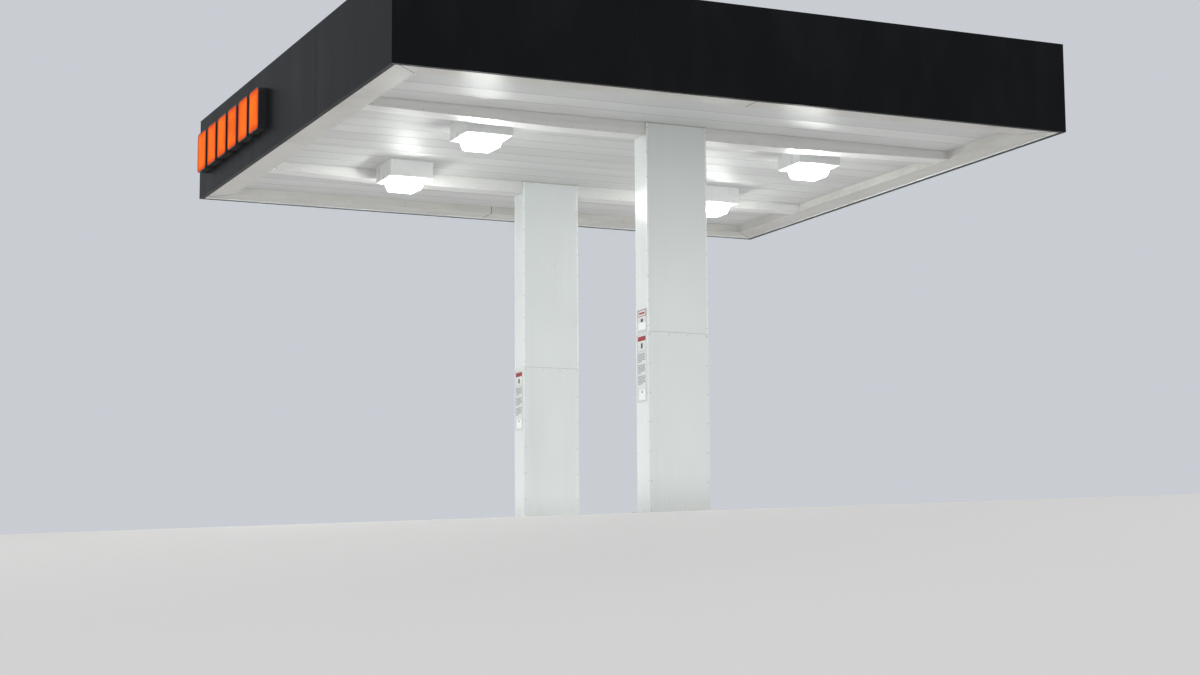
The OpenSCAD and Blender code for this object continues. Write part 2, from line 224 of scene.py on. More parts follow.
# Composite panel with a satin PVDF paint: deep black that dust greys a little where it faces up
fasciaPaint = paintedSheet("blackCompositePanel", {
    "ior": 1.1,                         # low, so that it stays dark where it is seen at a slant
    "colour": "#131416", "drift": "#17181A", "grimeColour": "#4A4945", "grime": 0.07,
    "streakScale": (1.6, 1.6, 0.5), "waves": 0.5, "gloss": (0.26, 0.36), "relief": 0.06, "dust": 0.5})
# Stove enamel on the light boxes: hard, even, and the cleanest white overhead
lightPaint = paintedSheet("lightBoxEnamel", {
    "colour": "#F0F2F2", "drift": "#EAEBEA", "grimeColour": "#8F887A", "grime": 0.06,
    "streakScale": (5.0, 5.0, 3.0), "waves": 3.0, "gloss": (0.24, 0.36), "relief": 0.04})
# Sprayed black on folded aluminium: semi-gloss, greyed in fine runs down the sides
canPaint = paintedSheet("signCanPaint", {
    "colour": "#232427", "drift": "#2B2C2F", "grimeColour": "#5B584F", "grime": 0.14,
    "streakScale": (8.0, 8.0, 1.0), "waves": 2.0, "gloss": (0.3, 0.42), "relief": 0.05})
# Cast vinyl film on sheet, a film for each colour: flat and even, with a soft sheen and fine dirt
noticePaint, noticeWhite, noticeDark, noticeRed, noticeGrey = [paintedSheet(name, {
    "colour": colour, "drift": drift, "grimeColour": grimeColour, "grime": grime, "gloss": gloss,
    "streakScale": (12.0, 12.0, 3.0), "waves": 4.0, "relief": 0.04})
    for name, colour, drift, grimeColour, grime, gloss in (
        ("vinylOnSheet", "#E1E4E2", "#D8DBD9", "#96927F", 0.1, (0.32, 0.45)),
        ("whiteVinyl", "#F4F7F6", "#ECEFED", "#96927F", 0.06, (0.3, 0.42)),
        ("blackVinyl", "#1E2022", "#26282A", "#5C5A55", 0.1, (0.32, 0.45)),
        ("redVinyl", "#A52A2C", "#98262A", "#7A4038", 0.15, (0.32, 0.45)),
        ("greyVinyl", "#7B7E82", "#85888C", "#807C72", 0.12, (0.35, 0.48)))]


# Hot-dip zinc: dull grey crystals, each of its own tone, under patches of white bloom. Real spangle is
# 10 to 20 mm, drawn at 45 mm so that it shows at this size
def zincCoat(spangle=0.045):
    material, tree, surface, place = newMaterial("hotDipZinc", {"Metallic": 0.85})
    cells = addNode(tree, "ShaderNodeTexVoronoi", {"Vector": place, "Scale": 1 / spangle}).outputs["Color"]
    tone = addNode(tree, "ShaderNodeMix", {
        "Factor": cells, 6: "#8F9498", 7: "#BCC1C4"}, data_type="RGBA").outputs[2]
    cloud = addNode(tree, "ShaderNodeTexNoise", {"Vector": place, "Scale": 3.0, "Detail": 6.0})
    white = addNode(tree, "ShaderNodeMapRange", {
        "Value": cloud, **span("From", (0.55, 0.75)), "To Max": 0.5})
    dull = addNode(tree, "ShaderNodeMix", {
        "Factor": white, 6: tone, 7: "#C9CBC8"}, data_type="RGBA").outputs[2]
    rough = addNode(tree, "ShaderNodeMapRange", {"Value": cells, **span("To", (0.38, 0.58))})
    setInputs(surface, {"Base Color": dull, "Roughness": rough})
    return material


# Grey shop primer, sprayed thin, with a few rust blooms at the edges of the mill scale
def shopPrimer():
    material, tree, surface, place = newMaterial("shopPrimer", {})
    cloud = addNode(tree, "ShaderNodeTexNoise", {"Vector": place, "Scale": 2.2, "Detail": 8.0})
    bloom = addNode(tree, "ShaderNodeMapRange", {"Value": cloud, **span("From", (0.6, 0.72))})
    speck = addNode(tree, "ShaderNodeTexNoise", {"Vector": place, "Scale": 45.0, "Detail": 5.0})
    rusty = addNode(tree, "ShaderNodeMath", {0: bloom, 1: speck}, operation="MULTIPLY")
    colour = addNode(tree, "ShaderNodeMix", {
        "Factor": rusty, 6: "#7F868A", 7: "#7A4A30"}, data_type="RGBA").outputs[2]
    rough = addNode(tree, "ShaderNodeMapRange", {"Value": speck, **span("To", (0.5, 0.75))})
    bump = addNode(tree, "ShaderNodeBump", {"Height": speck, "Strength": 0.15, "Distance": 0.002})
    setInputs(surface, {"Base Color": colour, "Roughness": rough, "Normal": bump})
    return material


# Zinc-plated steel screws: small bright heads, a little yellow from the passivation
def platedSteel():
    material, tree, surface, place = newMaterial("platedSteel", {"Metallic": 1.0})
    cloud = addNode(tree, "ShaderNodeTexNoise", {"Vector": place, "Scale": 9.0, "Detail": 3.0})
    tone = addNode(tree, "ShaderNodeMix", {
        "Factor": cloud, 6: "#B9BBB8", 7: "#A8A491"}, data_type="RGBA").outputs[2]
    rough = addNode(tree, "ShaderNodeMapRange", {"Value": cloud, **span("To", (0.28, 0.5))})
    setInputs(surface, {"Base Color": tone, "Roughness": rough})
    return material


# Neutral-cure silicone or moulded rubber: matt, slightly uneven, with dirt held in its surface
def sealant(name, colour, dark):
    material, tree, surface, place = newMaterial(name, {"Roughness": 0.6})
    cloud = addNode(tree, "ShaderNodeTexNoise", {"Vector": place, "Scale": 14.0, "Detail": 6.0})
    tone = addNode(tree, "ShaderNodeMix", {
        "Factor": cloud, 6: colour, 7: dark}, data_type="RGBA").outputs[2]
    bump = addNode(tree, "ShaderNodeBump", {"Height": cloud, "Strength": 0.4, "Distance": 0.002})
    setInputs(surface, {"Base Color": tone, "Normal": bump})
    return material


# Lit from inside: colour and strength climb with the glow that the mesh carries
def litSkin(name, look):
    material, tree, surface, place = newMaterial(name, {
        "Base Color": look["body"], "Roughness": look["rough"], "Specular IOR Level": look["gloss"]})
    glow = addNode(tree, "ShaderNodeAttribute", attribute_name="glow").outputs["Fac"]
    cloud = addNode(tree, "ShaderNodeTexNoise", {"Vector": place, "Scale": look["grain"], "Detail": 2.0})
    mixed = addNode(tree, "ShaderNodeMath", {
        0: cloud, 1: look["mottle"], 2: glow}, operation="MULTIPLY_ADD")
    share = addNode(tree, "ShaderNodeMapRange", {
        "Value": mixed, **span("From", (look["mottle"] / 3, 1 + 0.7 * look["mottle"]))})
    colour = addNode(tree, "ShaderNodeMix", {
        "Factor": share, 6: look["edge"], 7: look["core"]}, data_type="RGBA").outputs[2]
    power = addNode(tree, "ShaderNodeMapRange", {"Value": share, **span("To", look["strength"])})
    setInputs(surface, {"Emission Color": colour, "Emission Strength": power})
    return material


zinc, primer, screws = zincCoat(), shopPrimer(), platedSteel()
whiteSealant = sealant("whiteSealant", "#CFCFC8", "#9C9A90")
greySealant = sealant("greySealant", "#84857F", "#5F605C")
darkSealant = sealant("darkSealant", "#3D3D39", "#2B2B28")
gasketRubber = sealant("gasketRubber", "#141414", "#232323")
# Pressed prismatic glass over a strong lamp: burns white at its base and is plain pale glass at its rim
lensGlass = litSkin("litPrismGlass", {
    "body": "#E9EDEA", "edge": "#DCE4E4", "core": "#FFFFFA", "strength": (0.7, 80.0),
    "rough": 0.25, "grain": 6.0, "mottle": 0.15, "gloss": 0.5})
# Cast acrylic in front of warm lamps: deep at its edges, hotter over the lamp
signAcrylic = litSkin("litAcrylic", {
    "body": "#5A1204", "edge": "#DC1F03", "core": "#FF7C12", "strength": (0.72, 1.0),
    "rough": 0.6, "grain": 2.6, "mottle": 1.3, "gloss": 0.04})

# A node takes the first finish whose words its name holds; the columns' sheets hold none of them
finishes = {
    "purlin": zinc, "gutter": zinc, "fascia_frame": zinc, "fascia_struts": zinc, "base_plate": zinc,
    "column_steel": primer, "girder": primer, "fascia": fasciaPaint, "edge_soffit": edgePaint,
    "light_box": lightPaint, "sign_cans": canPaint, "corner_trims": trimPaint,
    "beam_casing": beamPaint, "notice": noticePaint}


def finishFor(name):
    if name in deckBays:
        return deckPaint(name)
    for part, material in finishes.items():
        if part in name:
            return material
    return columnPaint


for name, node in nodes.items():
    node.data.materials.clear()
    node.data.materials.append(finishFor(name))
print("finishes on the frame's nodes")


def keep(piece, slotName, *replaced):
    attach(piece, "root")
    if replaced:
        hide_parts(*replaced)
    return piece


def putInScene(name, data):
    made = bpy.data.objects.new(name, data)
    bpy.context.scene.collection.objects.link(made)
    return made


def objectFrom(name, work, material, smooth):
    mesh = bpy.data.meshes.new(name)
    work.to_mesh(mesh)
    work.free()
    for face in mesh.polygons:
        face.use_smooth = smooth
    mesh.materials.append(material)
    return putInScene(name, mesh)


def pieceFrom(name, work, material, smooth=False):
    bmesh.ops.remove_doubles(work, verts=work.verts, dist=1e-6)
    bmesh.ops.recalc_face_normals(work, faces=work.faces)
    return objectFrom(name, work, material, smooth)


def addBlock(work, low, high, edge=0.0):
    middle = (Vector(low) + Vector(high)) / 2
    size = Vector(high) - Vector(low)
    made = bmesh.ops.create_cube(
        work, size=1.0, matrix=Matrix.Translation(middle) @ Matrix.Diagonal((*size, 1.0)))
    if edge:
        edges = {e for v in made["verts"] for e in v.link_edges}
        bmesh.ops.bevel(work, geom=list(edges), offset=edge, segments=2, affect="EDGES", profile=0.6)


def addRod(work, start, end, radius, sides):
    turn = (end - start).to_track_quat("Z", "Y").to_matrix().to_4x4()
    bmesh.ops.create_cone(
        work, cap_ends=True, segments=sides, radius1=radius, radius2=radius,
        depth=(end - start).length, matrix=Matrix.Translation((start + end) / 2) @ turn)


# A band of faces between two rings of points
def joinRings(work, upper, lower):
    for k in range(len(upper)):
        n = (k + 1) % len(upper)
        work.faces.new((upper[k], upper[n], lower[n], lower[k]))


# Rounded rectangle in a plane: centre, two directions, half sizes and corner radius
def roundedLoop(centre, along, up, halfA, halfB, radius, steps):
    points = []
    for turn, (sa, sb) in enumerate(((1, 1), (-1, 1), (-1, -1), (1, -1))):
        for k in range(steps + 1):
            angle = math.pi / 2 * (turn + k / steps)
            a = sa * (halfA - radius) + radius * math.cos(angle)
            b = sb * (halfB - radius) + radius * math.sin(angle)
            points.append(centre + along * a + up * b)
    return points


# Such a loop as points of a mesh, each with the glow that the lit finishes read
def glowRing(work, bright, *loop):
    glow = work.verts.layers.float["glow"]
    ring = [work.verts.new(point) for point in roundedLoop(*loop)]
    for vert in ring:
        vert[glow] = bright
    return ring


# A bead of round section swept along a closed loop of points that lie in one plane
def addBead(work, points, normal, radius, sides=8):
    rings = []
    for i, here in enumerate(points):
        ahead, behind = points[(i + 1) % len(points)], points[i - 1]
        side = (ahead - behind).normalized().cross(normal).normalized()
        turns = [2 * math.pi * k / sides for k in range(sides)]
        rings.append([work.verts.new(here + side * radius * math.cos(a) + normal * radius * math.sin(a))
                      for a in turns])
    for i, ring in enumerate(rings):
        joinRings(work, ring, rings[(i + 1) % len(rings)])


# Node trees that set one shape on every point of a cloud, turned along the point's facing
def copiesTree(name, sizes, build):
    tree = bpy.data.node_groups.new(name, "GeometryNodeTree")
    tree.interface.new_socket(name="points", in_out="INPUT", socket_type="NodeSocketGeometry")
    for label in sizes:
        tree.interface.new_socket(name=label, in_out="INPUT", socket_type="NodeSocketFloat")
    tree.interface.new_socket(name="finish", in_out="INPUT", socket_type="NodeSocketMaterial")
    tree.interface.new_socket(name="copies", in_out="OUTPUT", socket_type="NodeSocketGeometry")
    given = addNode(tree, "NodeGroupInput").outputs
    shape = build(tree, given)
    facing = addNode(tree, "GeometryNodeInputNamedAttribute", {"Name": "facing"}, data_type="FLOAT_VECTOR")
    turn = addNode(tree, "FunctionNodeAlignRotationToVector", {"Vector": facing}, axis="Z")
    placed = addNode(tree, "GeometryNodeInstanceOnPoints", {
        "Points": given["points"], "Instance": shape, "Rotation": turn})
    solid = addNode(tree, "GeometryNodeRealizeInstances", {"Geometry": placed})
    coated = addNode(tree, "GeometryNodeSetMaterial", {"Geometry": solid, "Material": given["finish"]})
    addNode(tree, "NodeGroupOutput", {"copies": coated})
    return tree


def domeShape(tree, given):
    ball = addNode(tree, "GeometryNodeMeshUVSphere", {"Segments": 10, "Rings": 6, "Radius": 1.0})
    size = addNode(tree, "ShaderNodeCombineXYZ", {
        "X": given["radius"], "Y": given["radius"], "Z": given["height"]})
    return addNode(tree, "GeometryNodeTransform", {"Geometry": ball, "Scale": size})


# Stud, washer and hexagon nut with its upper corners turned off, standing on the point. As shares of the
# nut: its corners' radius of the width across flats, its body and crown of the height, and the crown's taper
nutForm = {"cornerRadius": 0.57735, "body": 0.82, "crown": 0.18, "crownTop": 0.88}


def boltShape(tree, given):
    corner = addNode(tree, "ShaderNodeMath", {
        0: given["acrossFlats"], 1: nutForm["cornerRadius"]}, operation="MULTIPLY")
    body = addNode(tree, "ShaderNodeMath", {
        0: given["nutHeight"], 1: nutForm["body"]}, operation="MULTIPLY")
    cap = addNode(tree, "ShaderNodeMath", {
        0: given["nutHeight"], 1: nutForm["crown"]}, operation="MULTIPLY")
    neck = addNode(tree, "ShaderNodeMath", {0: corner, 1: nutForm["crownTop"]}, operation="MULTIPLY")
    crown = addNode(tree, "GeometryNodeMeshCone", {
        "Vertices": 6, "Radius Top": neck, "Radius Bottom": corner, "Depth": cap})
    crownFoot = addNode(tree, "ShaderNodeMath", {0: given["washerHeight"], 1: body}, operation="ADD")
    crownMove = addNode(tree, "ShaderNodeCombineXYZ", {"Z": crownFoot})
    parts = [addNode(tree, "GeometryNodeTransform", {"Geometry": crown, "Translation": crownMove})]
    for sides, radius, high, foot in (
            (20, given["washerRadius"], given["washerHeight"], 0.0),
            (6, corner, body, given["washerHeight"]),
            (14, given["studRadius"], given["studHeight"], 0.0)):
        drum = addNode(tree, "GeometryNodeMeshCylinder", {"Vertices": sides, "Radius": radius, "Depth": high})
        middle = addNode(tree, "ShaderNodeMath", {0: high, 1: 0.5, 2: foot}, operation="MULTIPLY_ADD")
        move = addNode(tree, "ShaderNodeCombineXYZ", {"Z": middle})
        parts.append(addNode(tree, "GeometryNodeTransform", {"Geometry": drum, "Translation": move}))
    return addNode(tree, "GeometryNodeJoinGeometry", {"Geometry": parts})


# Four-sided pyramid that stands for one prism of a moulded lens, and glows
def prismShape(tree, given):
    corner = addNode(tree, "ShaderNodeMath", {0: given["side"], 1: math.sqrt(0.5)}, operation="MULTIPLY")
    spike = addNode(tree, "GeometryNodeMeshCone", {
        "Vertices": 4, "Radius Top": 0.0, "Radius Bottom": corner, "Depth": given["height"]})
    turned = addNode(tree, "GeometryNodeTransform", {
        "Geometry": spike, "Rotation": (0.0, 0.0, math.pi / 4)})
    return addNode(tree, "GeometryNodeStoreNamedAttribute", {
        "Geometry": turned, "Name": "glow", "Value": 1.0}, data_type="FLOAT", domain="POINT")


rivetTree = copiesTree("rivetHeads", ("radius", "height"), domeShape)
boltTree = copiesTree("nutsAndWashers", (
    "studRadius", "studHeight", "washerRadius", "washerHeight", "acrossFlats", "nutHeight"), boltShape)
prismTree = copiesTree("lensPrisms", ("side", "height"), prismShape)


# One copy on each spot, which is a place and the way it faces; sizes holds a value for each input
def scatter(name, tree, spots, sizes, material, slotName):
    mesh = bpy.data.meshes.new(name)
    mesh.from_pydata([place for place, _ in spots], [], [])
    facing = mesh.attributes.new("facing", "FLOAT_VECTOR", "POINT")
    facing.data.foreach_set("vector", [c for _, way in spots for c in way])
    piece = putInScene(name, mesh)
    maker = piece.modifiers.new("maker", "NODES")
    maker.node_group = tree
    given = {**sizes, "finish": material}
    for socket in tree.interface.items_tree:
        if socket.in_out == "INPUT" and socket.name in given:
            maker[socket.identifier] = given[socket.name]
    bpy.context.view_layer.update()
    made = bpy.data.meshes.new_from_object(piece.evaluated_get(bpy.context.evaluated_depsgraph_get()))
    piece.modifiers.remove(maker)
    piece.data = made
    print(name, len(spots), "copies")
    return keep(piece, slotName)


def spaced(start, end, pitch):
    count = max(1, round(abs(end - start) / pitch))
    return [start + (end - start) * i / count for i in range(count + 1)]


# The eight spots at one height beside the corners of a column, two at each corner, facing outwards
def cornerSpots(low, high, inset, z):
    spots = []
    for x, sx in ((low.x, 1), (high.x, -1)):
        for y, sy in ((low.y, 1), (high.y, -1)):
            spots += [((x + sx * inset, y, z), (0, -sy, 0)), ((x, y + sy * inset, z), (-sx, 0, 0))]
    return spots


# Rivets down both legs of every corner trim
trimRivets = {"radius": 0.006, "height": 0.003, "pitch": 0.30, "inset": 0.011, "endGap": 0.07}
spots = []
for side in columns:
    low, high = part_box(side + "_column_corner_trims")
    for z in spaced(low.z + trimRivets["endGap"], high.z - trimRivets["endGap"], trimRivets["pitch"]):
        spots += cornerSpots(low, high, trimRivets["inset"], z)
scatter("cornerTrimRivets", rivetTree, spots, trimRivets, screws, "trim")

# Pan-head screws round the foot wraps, and a closer row along their tops
wrapScrews = {"radius": 0.007, "height": 0.004, "pitch": 0.36, "inset": 0.028, "topGap": 0.03,
              "footGap": 0.09, "topPitch": 0.25}
spots = []
for side in columns:
    low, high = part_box(side + "_column_foot_wrap")
    inset, top = wrapScrews["inset"], high.z - wrapScrews["topGap"]
    for z in spaced(low.z + wrapScrews["footGap"], top, wrapScrews["pitch"]):
        spots += cornerSpots(low, high, inset, z)
    for x in spaced(low.x + inset, high.x - inset, wrapScrews["topPitch"])[1:-1]:
        spots += [((x, low.y, top), (0, -1, 0)), ((x, high.y, top), (0, 1, 0))]
scatter("footWrapScrews", rivetTree, spots, wrapScrews, screws, "column_sheet")

# Two white dome heads side by side, high on the front face of the far column; their white, brighter than the
# sheet round them, is a painted highlight for the lamps' glints on them
faceHeads = {"radius": 0.016, "height": 0.010, "apart": 0.131, "z": 3.674}
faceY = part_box("back_column_wide_panels")[0].y
spots = [((s * faceHeads["apart"] / 2, faceY, faceHeads["z"]), (0, -1, 0)) for s in bothSigns]
scatter("columnFaceHeads", rivetTree, spots, faceHeads, trimPaint, "column_sheet")

# Anchor bolts at both ends of the base plates
anchors = {"insetX": 0.065, "insetY": 0.060, "studRadius": 0.018, "studHeight": 0.040,
           "washerRadius": 0.036, "washerHeight": 0.006, "acrossFlats": 0.055, "nutHeight": 0.029}
spots = []
for side in columns:
    low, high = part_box(side + "_base_plate")
    for x in (low.x + anchors["insetX"], high.x - anchors["insetX"]):
        for y in (low.y + anchors["insetY"], high.y - anchors["insetY"]):
            spots.append(((x, y, high.z), upwards))
scatter("anchorBolts", boltTree, spots, anchors, zinc, "galvanised_steel")

# Structural bolts through the purlins' lower flanges into the girders, and the pan clips' smaller ones
purlinBolts = {"alongX": 0.030, "acrossY": 0.060, "flange": 0.008, "studRadius": 0.010,
               "studHeight": 0.028, "washerRadius": 0.0185, "washerHeight": 0.003,
               "acrossFlats": 0.030, "nutHeight": 0.016}
clipBolts = {"alongX": 0.030, "studRadius": 0.005, "studHeight": 0.014, "washerRadius": 0.012,
             "washerHeight": 0.002, "acrossFlats": 0.016, "nutHeight": 0.008}
purlins = sorted(n for n in nodes if n.startswith("purlin"))
spots, clipSpots = [], []
for name in purlins:
    low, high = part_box(name)
    middle, top = (low.x + high.x) / 2, low.z + purlinBolts["flange"]
    for side in columns:
        girderLow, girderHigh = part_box(side + "_girder")
        line = (girderLow.y + girderHigh.y) / 2
        spots += [((middle + sx * purlinBolts["alongX"], line + sy * purlinBolts["acrossY"], top), upwards)
                  for sx, sy in fourSigns]
    for deck, count in deckBays.items():
        deckStart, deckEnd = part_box(deck)[0].y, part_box(deck)[1].y
        for i in range(1, count):
            seam = deckStart + (deckEnd - deckStart) * i / count
            clipSpots += [((middle + sx * clipBolts["alongX"], seam, top), upwards) for sx in bothSigns]
scatter("purlinBolts", boltTree, spots, purlinBolts, zinc, "galvanised_steel")
scatter("panClipBolts", boltTree, clipSpots, clipBolts, zinc, "galvanised_steel")

# Rivets along the sides of the beam casings, above an underside that is level and then climbs
beamRivets = {"radius": 0.006, "height": 0.003, "pitch": 0.32, "above": 0.022, "levelTo": 1.54,
              "columnGap": 0.44, "endGap": 0.05}
spots = []
for side in columns:
    low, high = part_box(side + "_beam_casing")
    for x in spaced(beamRivets["columnGap"], high.x - beamRivets["endGap"], beamRivets["pitch"]):
        climb = max(0.0, x - beamRivets["levelTo"]) / (high.x - beamRivets["levelTo"])
        z = low.z + climb * (soffitZ - low.z) + beamRivets["above"]
        for s in bothSigns:
            spots += [((s * x, low.y, z), (0, -1, 0)), ((s * x, high.y, z), (0, 1, 0))]
scatter("beamCasingRivets", rivetTree, spots, beamRivets, screws, "beam_sheet")


# Spots in rows along all four sides, a given distance inside the roof's outer face
def perimeter(inset, z, pitch, facing, skip):
    halfX, halfY = roofHigh.x - inset, roofHigh.y - inset
    spots = [((x, s * halfY, z), facing or (0, -s, 0))
             for x in spaced(-halfX + skip, halfX - skip, pitch) for s in bothSigns]
    return spots + [((s * halfX, y, z), facing or (-s, 0, 0))
                    for y in spaced(-halfY + skip, halfY - skip, pitch) for s in bothSigns]


edgeScrews = {"radius": 0.0065, "height": 0.003, "pitch": 0.42, "innerRow": 0.020, "outerRow": 0.022,
              "cornerGap": 0.1}
spots = []
for inset in (fasciaDeep + edgeScrews["outerRow"], fasciaDeep + edgeWide - edgeScrews["innerRow"]):
    spots += perimeter(inset, soffitZ, edgeScrews["pitch"], downwards, edgeScrews["cornerGap"])
scatter("edgeSoffitScrews", rivetTree, spots, edgeScrews, edgePaint, "edge_sheet")

# Rivets under the fascia's lower edge, and on the coping's lip over the roof well
fasciaRivets = {"radius": 0.006, "height": 0.003, "pitch": 0.34, "row": 0.034, "lipRow": 0.104,
                "lipBelow": 0.024, "cornerGap": 0.08}
spots = []
for inset, z, facing in ((fasciaRivets["row"], roofLow.z, downwards),
                         (fasciaRivets["lipRow"], roofHigh.z - fasciaRivets["lipBelow"], None)):
    spots += perimeter(inset, z, fasciaRivets["pitch"], facing, fasciaRivets["cornerGap"])
scatter("fasciaRivets", rivetTree, spots, fasciaRivets, fasciaPaint, "fascia_panel")
print("fasteners done")


# Rubber gaskets set back in the open joints of the fascia
gaskets = {"setBack": 0.004, "deep": 0.030, "wide": 0.006, "panels": 3, "margin": 0.006}
gasketMesh = bmesh.new()
near, far, half = gaskets["setBack"], gaskets["deep"], gaskets["wide"] / 2
zLow, zHigh = roofLow.z + gaskets["margin"], roofHigh.z - gaskets["margin"]
for i in range(1, gaskets["panels"]):
    share = 2 * i / gaskets["panels"] - 1
    x, y = share * roofHigh.x, share * roofHigh.y
    for s in bothSigns:
        ends = sorted((s * (roofHigh.y - near), s * (roofHigh.y - far)))
        addBlock(gasketMesh, (x - half, ends[0], zLow), (x + half, ends[1], zHigh))
        ends = sorted((s * (roofHigh.x - near), s * (roofHigh.x - far)))
        addBlock(gasketMesh, (ends[0], y - half, zLow), (ends[1], y + half, zHigh))
keep(pieceFrom("fasciaGaskets", gasketMesh, gasketRubber), "fascia_panel")

# Sealant where the column casings meet the pans, where they meet the foot wraps, and round their feet
seals = {"top": 0.007, "topSunk": 0.6, "foot": 0.007, "joint": 0.0035, "corner": 0.012}
for label, radius, material, part, atTop in (
        ("columnTopSealant", seals["top"], whiteSealant, "_column_corner_trims", True),
        ("columnJointSealant", seals["joint"], greySealant, "_column_corner_trims", False),
        ("columnFootSealant", seals["foot"], greySealant, "_column_foot_wrap", False)):
    sealMesh = bmesh.new()
    for side in columns:
        low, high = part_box(side + part)
        centre = (low + high) / 2
        centre.z = high.z - radius * seals["topSunk"] if atTop else low.z
        loop = roundedLoop(centre, xWay, yWay, (high.x - low.x) / 2, (high.y - low.y) / 2,
                           seals["corner"], 3)
        addBead(sealMesh, loop, zWay, radius)
    keep(pieceFrom(label, sealMesh, material, True), "column_sheet")

# White trim on the inner face of the fascia's lower lip, mitred at the corners: a thin bright outline
lipTrim = {"thick": 0.003, "clear": 0.0015}
trimMesh = bmesh.new()
for k in range(4):
    turn = Matrix.Rotation(math.pi / 2 * k, 3, "Z")
    halfAlong, depth = (roofHigh.x, roofHigh.y) if k % 2 == 0 else (roofHigh.y, roofHigh.x)
    corners = []
    for inset in (fasciaDeep, fasciaDeep + lipTrim["thick"]):
        for s in bothSigns:
            for z in (roofLow.z + lipTrim["clear"], soffitZ):
                spot = turn @ Vector((s * (halfAlong - inset), -depth + inset, z))
                corners.append(trimMesh.verts.new(spot))
    for quad in ((0, 1, 3, 2), (4, 6, 7, 5), (0, 4, 5, 1), (2, 3, 7, 6), (0, 2, 6, 4), (1, 5, 7, 3)):
        trimMesh.faces.new([corners[c] for c in quad])
keep(pieceFrom("lipTrims", trimMesh, trimPaint), "edge_sheet")

# Sealed joints of the edge soffit: a mitre at each corner, and one joint across the back and the front
edgeJoints = {"wide": 0.009, "proud": 0.0012, "bevel": 0.6, "back": -0.13, "front": 0.13}
jointMesh = bmesh.new()


# A low bead with sloping sides, laid on a surface from one point to another
def addStrip(start, end, normal):
    start, end, normal = Vector(start), Vector(end), Vector(normal)
    side = (end - start).normalized().cross(normal) * edgeJoints["wide"] / 2
    lift = normal * edgeJoints["proud"]
    steps = (-side, side, side * edgeJoints["bevel"] + lift, lift - side * edgeJoints["bevel"])
    near, far = [[jointMesh.verts.new(spot + step) for step in steps] for spot in (start, end)]
    jointMesh.faces.new(near)
    jointMesh.faces.new(far)
    joinRings(jointMesh, near, far)


outerX, outerY = roofHigh.x - fasciaDeep, roofHigh.y - fasciaDeep
innerX, innerY = outerX - edgeWide, outerY - edgeWide
for sx, sy in fourSigns:
    addStrip((sx * outerX, sy * outerY, soffitZ), (sx * innerX, sy * innerY, soffitZ), downwards)
for x, sy in ((edgeJoints["front"], -1), (edgeJoints["back"], 1)):
    addStrip((x, sy * outerY, soffitZ), (x, sy * innerY, soffitZ), downwards)
    addStrip((x, sy * innerY, soffitZ), (x, sy * innerY, roofZ), (0, -sy, 0))
keep(pieceFrom("edgeSoffitJoints", jointMesh, darkSealant), "edge_sheet")

# Straps across the gutters
straps = {"pitch": 0.85, "wide": 0.030, "thick": 0.003, "endGap": 0.2, "inset": 0.001}
strapMesh = bmesh.new()
for name in ("gutter_left", "gutter_right"):
    low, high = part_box(name)
    for y in spaced(low.y + straps["endGap"], high.y - straps["endGap"], straps["pitch"]):
        addBlock(strapMesh, (low.x + straps["inset"], y - straps["wide"] / 2, high.z),
                 (high.x - straps["inset"], y + straps["wide"] / 2, high.z + straps["thick"]))
keep(pieceFrom("gutterStraps", strapMesh, zinc), "galvanised_steel")

# Wiring in the roof well: a junction box beside each light, conduit between them and on to the sign
wiring = {"pipe": 0.0125, "pipeUp": 0.015, "box": 0.060, "boxHigh": 0.125, "boxEdge": 0.003,
          "boxClear": 0.002, "lid": 0.066, "lidHigh": 0.003, "beside": 0.170, "feedY": 0.812,
          "feedEnd": 0.110, "coupling": 0.017, "couplingLong": 0.060, "feedCouplings": (-1.0, 1.0)}
lightBoxes = [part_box(n) for n in sorted(nodes) if n.startswith("light_box")]
runX = max((low.x + high.x) / 2 for low, high in lightBoxes)
runY = max((low.y + high.y) / 2 for low, high in lightBoxes) - wiring["beside"]
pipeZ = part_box(purlins[0])[0].z + wiring["pipeUp"]
boxLow, boxHigh = roofZ + wiring["boxClear"], roofZ + wiring["boxHigh"]
wiringMesh = bmesh.new()


def addPipe(start, end, radius):
    addRod(wiringMesh, Vector(start), Vector(end), radius, 16)


# A block centred on a line, from one height to another
def addSquare(x, y, half, bottom, top, edge=0.0):
    addBlock(wiringMesh, (x - half, y - half, bottom), (x + half, y + half, top), edge)


for s in bothSigns:
    x = s * runX
    addPipe((x, -runY, pipeZ), (x, runY, pipeZ), wiring["pipe"])
    addPipe((x, -wiring["couplingLong"], pipeZ), (x, 0, pipeZ), wiring["coupling"])
    for y in (-runY, wiring["feedY"], runY):
        addSquare(x, y, wiring["box"], boxLow, boxHigh, wiring["boxEdge"])
        addSquare(x, y, wiring["lid"], boxHigh, boxHigh + wiring["lidHigh"])
feedY, feedEnd = wiring["feedY"], roofLow.x + wiring["feedEnd"]
addPipe((runX, feedY, pipeZ), (feedEnd, feedY, pipeZ), wiring["pipe"])
for x in wiring["feedCouplings"]:
    addPipe((x, feedY, pipeZ), (x + wiring["couplingLong"], feedY, pipeZ), wiring["coupling"])
keep(pieceFrom("roofWiring", wiringMesh, zinc), "galvanised_steel")
print("seals, gaskets, straps and wiring done")


